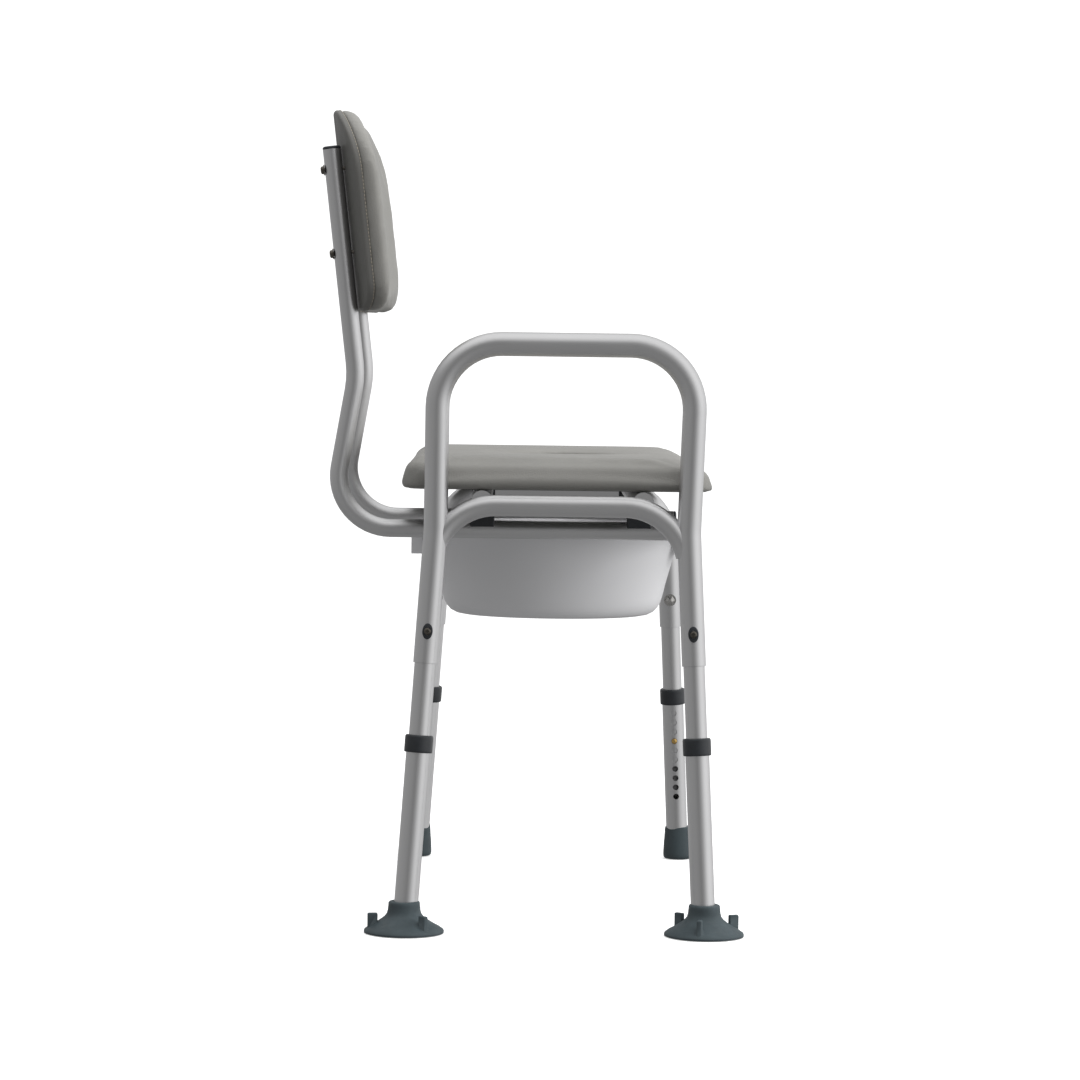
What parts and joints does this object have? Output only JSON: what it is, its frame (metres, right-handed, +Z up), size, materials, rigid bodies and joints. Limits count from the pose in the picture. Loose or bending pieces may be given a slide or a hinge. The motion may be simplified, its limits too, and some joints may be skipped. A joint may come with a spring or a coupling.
{
  "type": "padded commode transfer bench",
  "caption": "Padded commode transfer bench: aluminium tube frame, one looped arm, curved back cushion, lift-out pail, telescoping splayed legs, suction and plain rubber feet.",
  "frame": {"origin": "on the floor, under the centre of the bench's bounding box", "axes": "+Z up, -Y the way the sitter faces, X along the bench with the arm at its -X end"},
  "size_m": [0.7664, 0.519, 0.982],
  "materials": {
    "aluminium": "satin anodised",
    "vinyl": "satin grey vinyl",
    "board": "matte",
    "pail_plastic": "satin light grey",
    "rubber": "matte slate grey",
    "black_plastic": "satin black",
    "steel": "bright",
    "dark_steel": "dark plated",
    "brass": "polished"
  },
  "bodies": {
    "bench": {"arm_frame": "aluminium", "far_frame": "aluminium", "seat_hoop": "aluminium", "seat_rail_rear": "aluminium", "seat_rail_front": "aluminium", "back_tube_near": "aluminium", "back_tube_far": "aluminium", "pail_rail_near": "aluminium", "pail_rail_far": "aluminium", "leg_tube_near_rear": "aluminium", "saddle_washer_near_rear": "black_plastic", "leg_bolt_near_rear": "dark_steel", "leg_nut_near_rear": "steel", "leg_tube_near_front": "aluminium", "saddle_washer_near_front": "black_plastic", "leg_bolt_near_front": "dark_steel", "leg_nut_near_front": "steel", "leg_tube_far_rear": "aluminium", "saddle_washer_far_rear": "black_plastic", "leg_bolt_far_rear": "dark_steel", "leg_nut_far_rear": "steel", "leg_tube_far_front": "aluminium", "saddle_washer_far_front": "black_plastic", "leg_bolt_far_front": "dark_steel", "leg_nut_far_front": "steel", "seat_board": "board", "seat_pad": "vinyl", "back_board": "board", "back_pad": "vinyl", "back_plug_near": "black_plastic", "front_plug_near": "black_plastic", "back_bolt_near_lower": "dark_steel", "back_bolt_near_upper": "dark_steel", "saddle_near_rear": "black_plastic", "saddle_near_front": "black_plastic", "back_plug_far": "black_plastic", "front_plug_far": "black_plastic", "back_bolt_far_lower": "dark_steel", "back_bolt_far_upper": "dark_steel", "saddle_far_rear": "black_plastic", "saddle_far_front": "black_plastic"},
    "near_rear_leg": {"leg_sleeve_near_rear": "aluminium", "collar_near_rear": "black_plastic", "suction_foot_near_rear": "rubber"},
    "near_rear_button": {"snap_button_near_rear": "brass"},
    "near_front_leg": {"leg_sleeve_near_front": "aluminium", "collar_near_front": "black_plastic", "suction_foot_near_front": "rubber"},
    "near_front_button": {"snap_button_near_front": "brass"},
    "far_rear_leg": {"leg_sleeve_far_rear": "aluminium", "collar_far_rear": "black_plastic", "rubber_tip_far_rear": "rubber"},
    "far_rear_button": {"snap_button_far_rear": "brass"},
    "far_front_leg": {"leg_sleeve_far_front": "aluminium", "collar_far_front": "black_plastic", "rubber_tip_far_front": "rubber"},
    "far_front_button": {"snap_button_far_front": "brass"},
    "pail_body": {"pail": "pail_plastic"}
  },
  "joints": [
    {"name": "near_rear_leg_length", "type": "slide", "parent": "bench", "child": "near_rear_leg", "axis": [0.0697, -0.0657, 0.9954], "range_m": [-0.0381, 0.0762], "deforming": ["snap_button_near_rear"]},
    {"name": "near_rear_button_press", "type": "slide", "parent": "bench", "child": "near_rear_button", "axis": [-0.9976, -0.0046, 0.0695], "range_m": [0, 0.0042], "stiffness_N_per_m": 1500, "springref_m": -0.001},
    {"name": "near_front_leg_length", "type": "slide", "parent": "bench", "child": "near_front_leg", "axis": [0.0697, 0.0485, 0.9964], "range_m": [-0.0381, 0.0762], "deforming": ["snap_button_near_front"]},
    {"name": "near_front_button_press", "type": "slide", "parent": "bench", "child": "near_front_button", "axis": [-0.9976, 0.0034, 0.0697], "range_m": [0, 0.0042], "stiffness_N_per_m": 1500, "springref_m": -0.001},
    {"name": "far_rear_leg_length", "type": "slide", "parent": "bench", "child": "far_rear_leg", "axis": [-0.0697, -0.0657, 0.9954], "range_m": [-0.0381, 0.0762], "deforming": ["snap_button_far_rear"]},
    {"name": "far_rear_button_press", "type": "slide", "parent": "bench", "child": "far_rear_button", "axis": [0.9976, -0.0046, 0.0695], "range_m": [0, 0.0042], "stiffness_N_per_m": 1500, "springref_m": -0.001},
    {"name": "far_front_leg_length", "type": "slide", "parent": "bench", "child": "far_front_leg", "axis": [-0.0697, 0.0485, 0.9964], "range_m": [-0.0381, 0.0762], "deforming": ["snap_button_far_front"]},
    {"name": "far_front_button_press", "type": "slide", "parent": "bench", "child": "far_front_button", "axis": [0.9976, 0.0034, 0.0697], "range_m": [0, 0.0042], "stiffness_N_per_m": 1500, "springref_m": -0.001},
    {"name": "pail_slide", "type": "slide", "parent": "bench", "child": "pail_body", "axis": [0, -1, 0], "range_m": [0, 0.3]}
  ]
}
